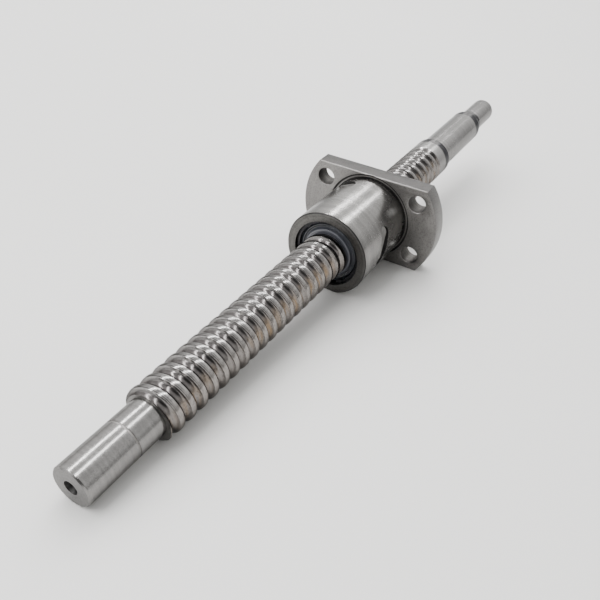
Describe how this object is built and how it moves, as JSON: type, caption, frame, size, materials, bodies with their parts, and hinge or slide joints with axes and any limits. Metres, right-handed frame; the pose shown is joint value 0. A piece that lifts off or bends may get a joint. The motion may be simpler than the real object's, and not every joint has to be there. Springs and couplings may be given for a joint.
{
  "type": "ball screw assembly",
  "caption": "Ball screw: a steel shaft with a rolled ball thread and plain machined journals, carrying a round recirculating-ball nut with a flat-sided bolting flange.",
  "frame": {"origin": "middle of the screw's length, on the screw axis", "axes": "+X along the screw from the plain supported journal towards the stepped drive end; +Z square to the flange's two flats; Y across the flange"},
  "size_m": [0.231, 0.046, 0.028],
  "materials": {
    "rolled_steel": "rolled and polished bearing steel, bright lands, faint brown stain in the grooves",
    "ground_steel": "ground and turned bearing steel, fine circumferential marks",
    "ball_steel": "polished bearing balls",
    "spring_steel": "dark phosphated spring steel",
    "wiper_plastic": "dark blue-black moulded wiper, satin",
    "deflector_steel": "sintered steel insert, satin"
  },
  "bodies": {
    "screw": {"screw_shaft": "rolled_steel"},
    "snap_rings": {"front_snap_ring": "spring_steel", "rear_snap_ring": "spring_steel"},
    "nut": {"nut_body": "ground_steel", "front_wiper": "wiper_plastic", "rear_wiper": "wiper_plastic", "deflector_1": "deflector_steel", "deflector_2": "deflector_steel", "deflector_3": "deflector_steel", "ball_1_01": "ball_steel", "ball_1_02": "ball_steel", "ball_1_03": "ball_steel", "ball_1_04": "ball_steel", "ball_1_05": "ball_steel", "ball_1_06": "ball_steel", "ball_1_07": "ball_steel", "ball_1_08": "ball_steel", "ball_1_09": "ball_steel", "ball_1_10": "ball_steel", "ball_1_11": "ball_steel", "ball_1_12": "ball_steel", "ball_1_13": "ball_steel", "ball_1_14": "ball_steel", "ball_1_15": "ball_steel", "ball_1_16": "ball_steel", "ball_2_01": "ball_steel", "ball_2_02": "ball_steel", "ball_2_03": "ball_steel", "ball_2_04": "ball_steel", "ball_2_05": "ball_steel", "ball_2_06": "ball_steel", "ball_2_07": "ball_steel", "ball_2_08": "ball_steel", "ball_2_09": "ball_steel", "ball_2_10": "ball_steel", "ball_2_11": "ball_steel", "ball_2_12": "ball_steel", "ball_2_13": "ball_steel", "ball_2_14": "ball_steel", "ball_2_15": "ball_steel", "ball_2_16": "ball_steel", "ball_3_01": "ball_steel", "ball_3_02": "ball_steel", "ball_3_03": "ball_steel", "ball_3_04": "ball_steel", "ball_3_05": "ball_steel", "ball_3_06": "ball_steel", "ball_3_07": "ball_steel", "ball_3_08": "ball_steel", "ball_3_09": "ball_steel", "ball_3_10": "ball_steel", "ball_3_11": "ball_steel", "ball_3_12": "ball_steel", "ball_3_13": "ball_steel", "ball_3_14": "ball_steel", "ball_3_15": "ball_steel", "ball_3_16": "ball_steel"}
  },
  "joints": [
    {"name": "nut_travel", "type": "slide", "parent": "screw", "child": "snap_rings", "axis": [1, 0, 0], "range_m": [-0.072, 0.036]},
    {"name": "nut_turn", "type": "hinge", "parent": "snap_rings", "child": "nut", "pos_m": [0, 0, 0], "axis": [1, 0, 0], "range_deg": [-6480, 3240]}
  ],
  "couplings": [
    {"joint": "nut_travel", "follows": "nut_turn", "m_per_rad": 0.00063662}
  ]
}
